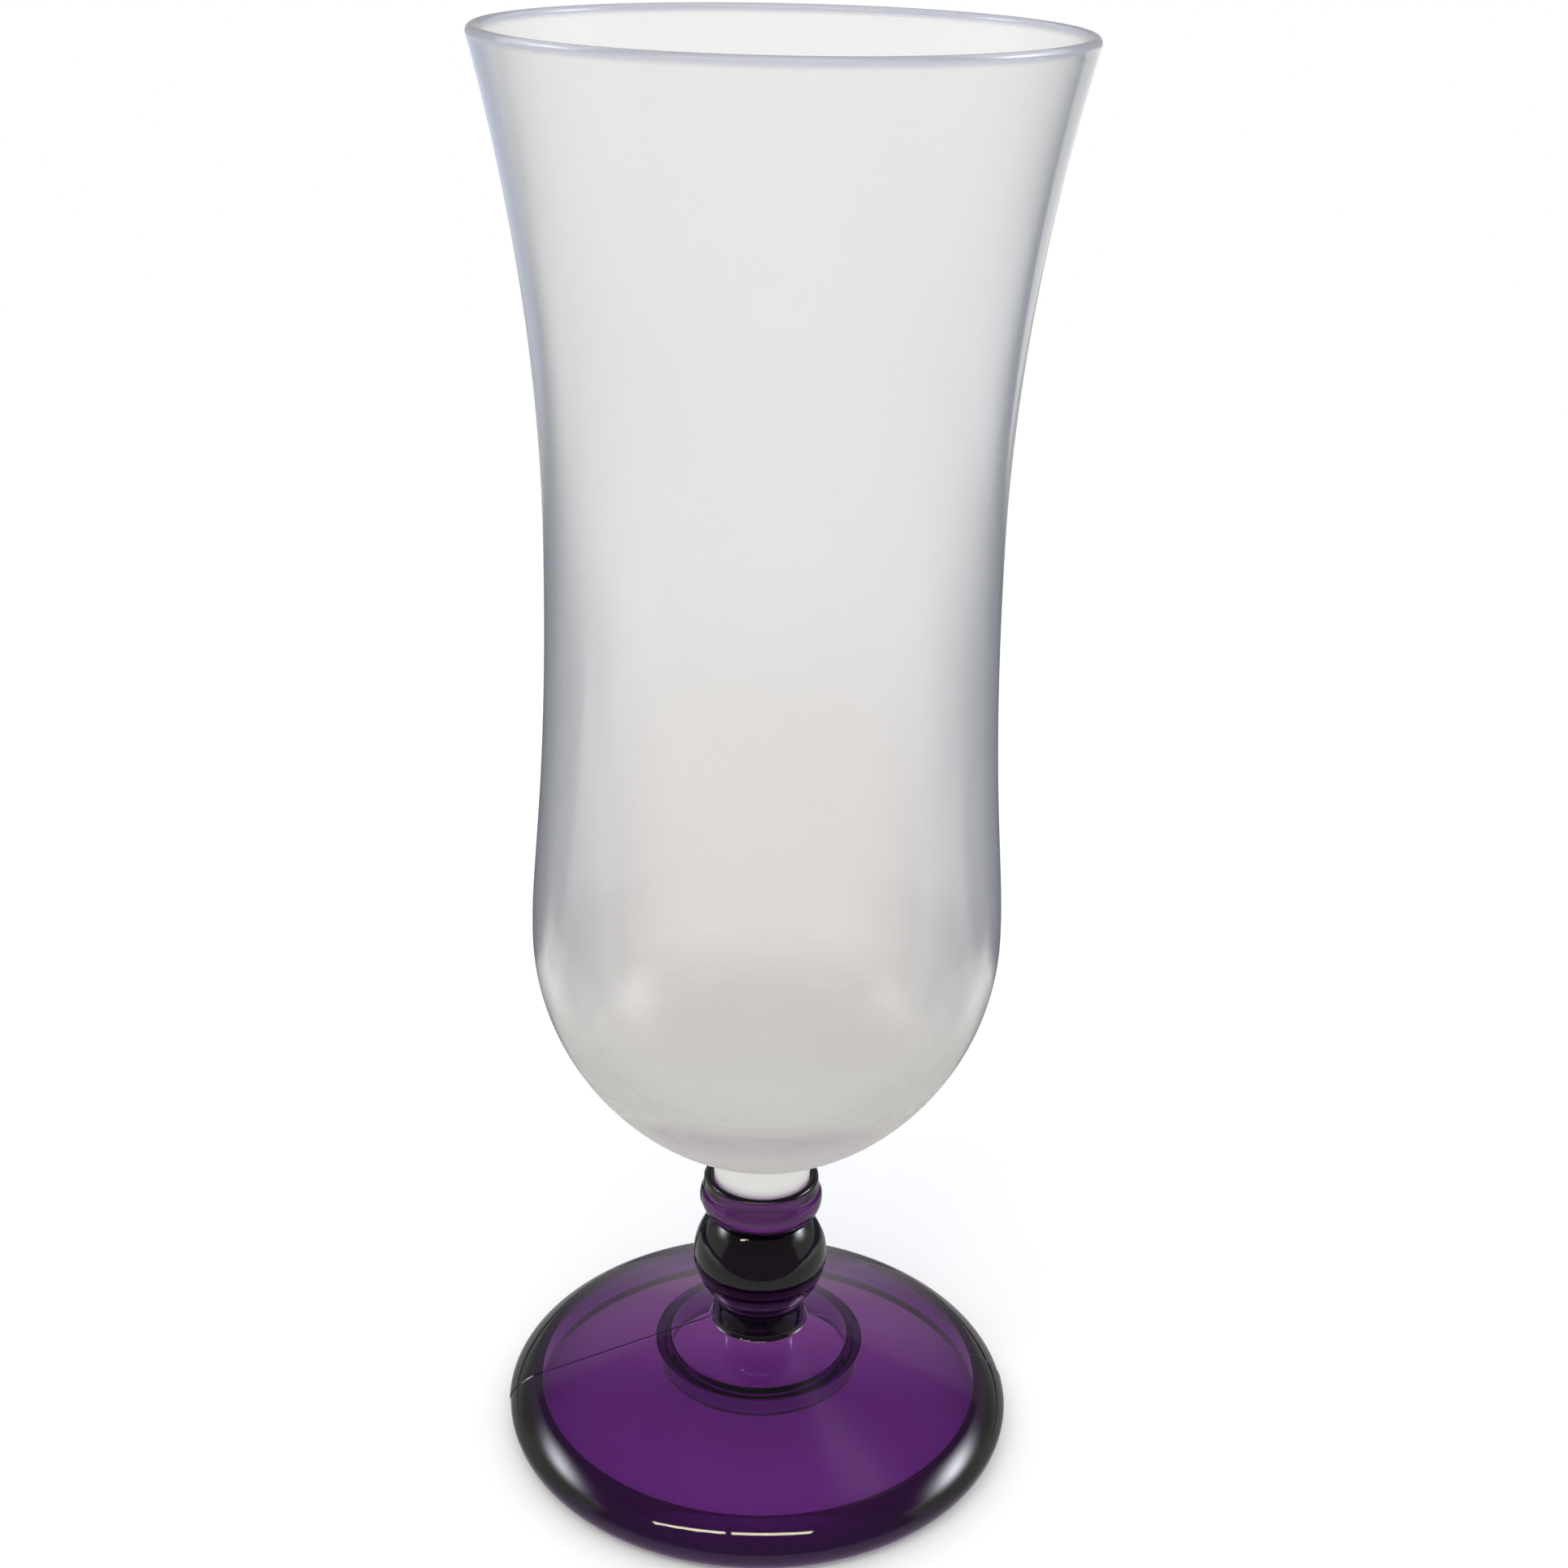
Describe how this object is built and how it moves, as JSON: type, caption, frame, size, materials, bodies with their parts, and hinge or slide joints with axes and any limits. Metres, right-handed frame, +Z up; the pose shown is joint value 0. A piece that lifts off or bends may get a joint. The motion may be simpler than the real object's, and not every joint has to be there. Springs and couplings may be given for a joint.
{
  "type": "hurricane glass",
  "caption": "Tulip-shaped plastic hurricane glass: translucent bowl with a plug that pushes into a transparent purple base with collar, ball, neck and hollow conical foot.",
  "frame": {"origin": "on the table, under the centre of the foot", "axes": "+Z up along the glass's axis, from foot to rim; -Y is the side the picture was taken from; +X to the right in the picture"},
  "size_m": [0.076, 0.076, 0.203],
  "materials": {
    "bowl_polypropylene": "moulded translucent, glossy",
    "base_polystyrene": "moulded transparent purple, glossy"
  },
  "bodies": {
    "base": {"base": "base_polystyrene"},
    "bowl": {"bowl": "bowl_polypropylene"}
  },
  "joints": [
    {"name": "bowl_lift", "type": "slide", "parent": "base", "child": "bowl", "axis": [0, 0, 1], "range_m": [0, 0.012]}
  ]
}
